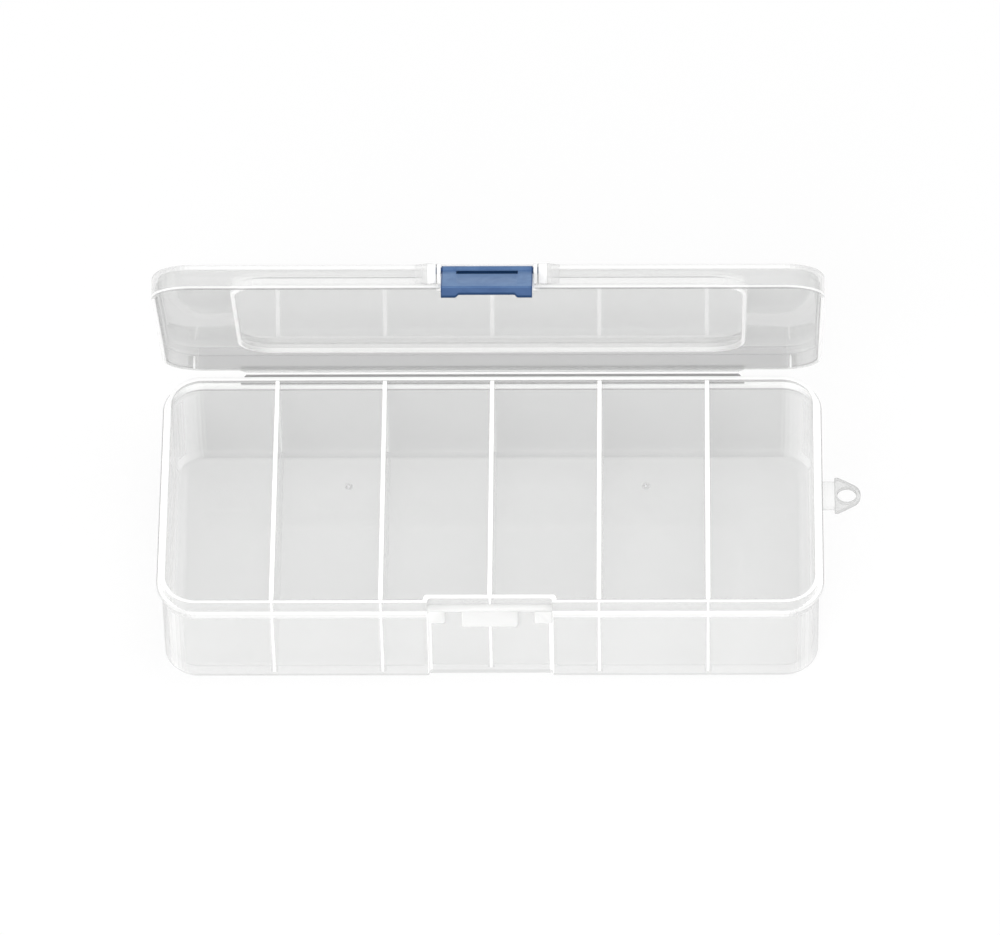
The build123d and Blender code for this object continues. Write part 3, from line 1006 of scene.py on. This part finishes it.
def make_ear(name, side, finish):
    """An ear that holds a stub pin, with a flared shoulder on its outer side."""
    shape = Shape()
    radius = 2.0
    root = -(TRAY_DEEP + FLANGE) - PIVOT_Y
    foot = -radius * sqrt(2) - root
    brow = arc((0, 0), (radius, radius), 90, 225, 14)
    outline = brow + [(root, foot), (root + 1.6, foot), (root + 1.6, radius)]
    near = BAY_HALF
    far = BAY_HALF + 3.55

    def place(u, v, level):
        return (side * level, PIVOT_Y + u, PIVOT_HEIGHT + v)

    seam = near + 0.95
    stations = ((near, 0.0), (seam, 0.12), (seam + 0.1, 0.2), (seam + 0.3, 0.2), (seam + 0.4, 0.12))
    rows = []
    for level, sunk in stations + ((far, 0.0),):
        shrink = 1 - sunk / radius
        rows.append(shape.ring([place(u * shrink, v * shrink, level) for u, v in outline]))
    # The ear's end faces are painted white as light, and its seam groove darker as shade
    for i, white in enumerate((1.0, 0.4, -0.5, 0.4, 0.95)):
        shape.band(rows[i], rows[i + 1], white)
    shape.face(rows[0][::-1], 1.0)
    shape.face(rows[-1], 0.7)
    base = shape.ring([place(u, v, far - 0.4) for u, v in outline])
    tip = shape.ring(
        [place(root + (u - root) * 0.12 + 0.3, v * 0.9, far + 3.4) for u, v in outline]
    )
    shape.band(base, tip, 0.85, 0.68)
    shape.face(base[::-1], 0.7)
    shape.face(tip, 0.68)
    return shape.build(name, finish, lid_place(), edge=0.3, segments=3)


def latch_section(bead, rib_top, groove):
    """The latch's outline across X: barrel, inner face with bead or rib, tip and outer face, and the
    painted light and shade of the face that starts at each point, with painted shade on the inner face
    and in the groove."""
    outer = BARREL - PLATE
    inner = BARREL + bead
    start = 360 - 180 / pi * atan2(sqrt(BARREL**2 - outer**2), -abs(outer))
    barrel = arc((0, 0), (BARREL, BARREL), start, 0, 18)
    tip = arc((outer + 0.4, -TIP + 0.4), (0.4, 0.4), 270, 180, 4)
    slot = [(outer, -3.5), (outer + groove, -3.4), (outer + groove, -1.05), (outer, -0.95)]
    points = barrel + [(BARREL, rib_top), (inner, rib_top), (inner, -TIP), (inner - 0.65, -TIP)]
    points += tip + slot
    white = [0.55] * len(barrel) + [0.0, 0.1, -1.0, 0.25] + [0.5] * 4 + [1.0]
    white += [-1.0, -1.0, -1.0] if groove > 0.3 else [0.7, 0.7, 0.7]
    return points, white + [0.7]


def make_latch(finish):
    """Barrel and plate, bead, ribs and groove, skinned across X, and two stub pins."""
    shape = Shape()
    low, high = -TIP + 1.3, -TIP + 5.3
    half = [
        (0.0, 0.9, low, 0.9),
        (7.4, 0.9, low, 0.9),
        (8.0, 1.5, low, 0.9),
        (8.18, 1.6, low, 0.0),
        (8.3, 1.7, low, 0.0),
        (8.42, 1.7, high, 0.0),
        (11.5, 1.7, high, 0.0),
        (11.62, 1.7, low, 0.0),
        (LATCH_HALF - 0.35, 1.7, low, 0.0),
        (LATCH_HALF, 1.7, low, 0.0),
    ]
    stations = [(-x, *rest) for x, *rest in reversed(half[1:])] + half
    rings = []
    grain_and_shade_rows = []
    for x, bead, rib_top, groove in stations:
        points, white = latch_section(bead, rib_top, groove)
        rings.append(shape.ring([(x, y, z) for y, z in points]))
        grain_and_shade_rows.append(white)
    # Bands at the two ends, and the end faces, are painted darker as shade
    for i in range(len(rings) - 1):
        at_end = i in (0, len(rings) - 2)
        grain_and_shade = [min(a, b) for a, b in zip(grain_and_shade_rows[i], grain_and_shade_rows[i + 1])]
        shape.band(rings[i], rings[i + 1], [w - 0.7 for w in grain_and_shade] if at_end else grain_and_shade)
    shape.face(rings[0][::-1], -0.3)
    shape.face(rings[-1], -0.3)
    for side in (-1, 1):
        rows = []
        for reach, r in ((-0.3, PIN_ROUND), (1.95, PIN_ROUND), (2.2, PIN_ROUND - 0.25)):
            circle = arc((0, 0), (r, r), 0, 360, 24)[:-1]
            x = side * (LATCH_HALF + reach)
            rows.append(shape.ring([(x, y, z) for y, z in circle]))
        for a, b in zip(rows, rows[1:]):
            shape.band(a, b, 0.0)
        shape.face(rows[0][::-1], 0.0)
        shape.face(rows[-1], 0.0)
    return shape.build("blue_latch_plate", finish, latch_place(), edge=0.16, segments=3)


def make_gate_marks(finish):
    """The two small round marks that moulding leaves on the floor."""
    shape = Shape()
    for x in GATE_PLACES:
        rows = []
        for r, level, _ in GATE_RINGS:
            circle = arc((x, GATE_Y), (r, r), 0, 360, 32)[:-1]
            rows.append(shape.ring([(u, v, FLOOR + level) for u, v in circle]))
        white = [ring[2] for ring in GATE_RINGS]
        for i in range(len(rows) - 1):
            shape.band(rows[i], rows[i + 1], white[i], white[i + 1])
        shape.face(rows[-1], 0.95)
        edge = GATE_RINGS[0][0]
        circle = arc((x, GATE_Y), (edge, edge), 0, 360, 32)[:-1]
        under = shape.ring([(u, v, FLOOR - 0.02) for u, v in circle])
        shape.band(under, rows[0], white[0])
        shape.face(under[::-1], white[0])
    return shape.build("gate_marks", finish)


# Copies of one clear plastic whose tint, veil and painted glow differ by part, to paint how light or
# shaded each part looks
clear_tray = clear_plastic("clear_tray", (0.60, 0.605, 0.60), 0.27, glow=0.05)
clear_divider = clear_plastic("clear_divider", (0.66, 0.665, 0.66), 0.3, gloss=0.3, glow=0.3)
clear_catch = clear_plastic("clear_catch", (0.66, 0.665, 0.66), 0.3)
clear_loop = clear_plastic("clear_loop", (0.62, 0.625, 0.62), 0.35)
clear_hinge = clear_plastic("clear_hinge", (0.70, 0.705, 0.70), 0.45, glow=0.3)
clear_lid = clear_plastic("clear_lid", (0.56, 0.565, 0.56), 0.27)
clear_ear = clear_plastic("clear_ear", (0.66, 0.665, 0.66), 0.3)
blue_latch = blue_plastic("blue_latch")

pieces = (
    (make_tray(clear_tray), "tray", "clear_tray", ("tray_shell",)),
    (make_gate_marks(clear_tray), "tray", "clear_tray", ()),
    (
        make_dividers(clear_divider),
        "tray",
        "clear_divider",
        ("divider_1", "divider_2", "divider_3", "divider_4", "divider_5"),
    ),
    (make_catch(clear_catch), "tray", "clear_catch", ("front_catch",)),
    (make_loop(clear_loop), "tray", "clear_loop", ("hang_loop",)),
    (make_lid(clear_lid), "lid", "clear_lid", ("lid_shell",)),
    (make_skirt_ribs(clear_lid), "lid", "clear_lid", ()),
    (make_ear("ear_left", -1, clear_ear), "lid", "clear_ear", ("latch_ear_left",)),
    (make_ear("ear_right", 1, clear_ear), "lid", "clear_ear", ("latch_ear_right",)),
    (make_latch(blue_latch), "latch", "blue_latch", ("latch",)),
)
for piece, body, slot, nodes in pieces:
    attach(piece, body)
    if nodes:
        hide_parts(*nodes)

film = make_film(clear_hinge)
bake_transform(film)
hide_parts("living_hinge")

# Table, sky and lamps, in metres
STAGE_HALF = 3.0
STAGE_LEVEL = -2e-5
LAMP_AIM = (0, 0, 0.03)


def seen_or_mirrored(bench):
    """1 for rays from the camera, in a mirror or through glass, and 0 for the rest."""
    path = bench.add("ShaderNodeLightPath")
    names = ("Is Camera Ray", "Is Glossy Ray", "Is Transmission Ray")
    camera, glossy, through = (Value(bench, path.outputs[name]) for name in names)
    return (camera + glossy + through).ramp(0.0, 1.0)


def make_stage():
    material, bench = new_finish("white_table")
    seen = seen_or_mirrored(bench)
    paper = bench.node("ShaderNodeBsdfDiffuse", None, {"Color": (0.82, 0.82, 0.82, 1)})
    glow = bench.node("ShaderNodeEmission", None, {"Color": WHITE, "Strength": 1.03})
    give_surface(bench, bench.node("ShaderNodeMixShader", None, {0: seen * 0.82, 1: paper, 2: glow}))
    mesh = bpy.data.meshes.new("table")
    h = STAGE_HALF
    corners = [(x, y, STAGE_LEVEL) for x, y in ((-h, -h), (h, -h), (h, h), (-h, h))]
    mesh.from_pydata(corners, [], [(0, 1, 2, 3)])
    mesh.materials.append(material)
    table = bpy.data.objects.new("table", mesh)
    bpy.context.scene.collection.objects.link(table)


def make_sky():
    world = bpy.data.worlds.new("studio")
    bpy.context.scene.world = world
    world.use_nodes = True
    bench = Bench(world.node_tree)
    world.node_tree.nodes.clear()
    strength = seen_or_mirrored(bench) * 0.4 + 0.6
    sky = bench.node("ShaderNodeBackground", None, {"Color": WHITE, "Strength": strength})
    bench.add("ShaderNodeOutputWorld", None, {"Surface": sky})


def make_lamp(name, place, size, power):
    data = bpy.data.lights.new(name, "AREA")
    data.shape = "RECTANGLE"
    data.size, data.size_y = size
    data.energy = power
    lamp = bpy.data.objects.new(name, data)
    lamp.location = place
    lamp.visible_glossy = False
    aim = Vector(LAMP_AIM) - Vector(place)
    lamp.rotation_mode = "QUATERNION"
    lamp.rotation_quaternion = aim.to_track_quat("-Z", "Y")
    bpy.context.scene.collection.objects.link(lamp)


make_stage()
make_sky()
make_lamp("key_lamp", (-0.5, -1.5, 1.25), (1.3, 1.0), 17.0)
make_lamp("top_lamp", (0.5, 0.1, 1.8), (1.4, 1.0), 11.0)

# Camera: its elevation, turn, roll and lens were fitted to the photograph's lines.
ELEVATION = radians(50.94)
YAW = radians(-1.56)
ROLL = radians(1.32)
FOCAL_PIXELS = 9903.0
PICTURE_WIDTH = 1000.0
PICTURE_MIDDLE = (500.0, 467.5)
TRAY_MIDDLE = (491.9, 531.1)
AIM_HEIGHT = 0.014
DISTANCE = 2.7
SENSOR = 36.0

forward = Vector((sin(YAW) * cos(ELEVATION), cos(YAW) * cos(ELEVATION), -sin(ELEVATION)))
level = Vector((cos(YAW), -sin(YAW), 0))
upright = level.cross(forward)
right = level * cos(ROLL) - upright * sin(ROLL)
up = upright * cos(ROLL) + level * sin(ROLL)
across = PICTURE_MIDDLE[0] - TRAY_MIDDLE[0]
above = TRAY_MIDDLE[1] - PICTURE_MIDDLE[1]
backward = -(forward * FOCAL_PIXELS + right * across + up * above).normalized()
right = up.cross(backward).normalized()
up = backward.cross(right)
camera_data = bpy.data.cameras.new("camera")
camera_data.sensor_width = SENSOR
camera_data.lens = FOCAL_PIXELS * SENSOR / PICTURE_WIDTH
camera_data.clip_start = 0.1
camera_data.clip_end = 20.0
camera = bpy.data.objects.new("camera", camera_data)
camera.location = Vector((0, 0, AIM_HEIGHT)) - forward * DISTANCE
camera.rotation_mode = "QUATERNION"
camera.rotation_quaternion = Matrix((right, up, backward)).transposed().to_quaternion()
bpy.context.scene.collection.objects.link(camera)
bpy.context.scene.camera = camera

scene = bpy.context.scene
scene.view_settings.view_transform = "Standard"
scene.cycles.transparent_max_bounces = 32
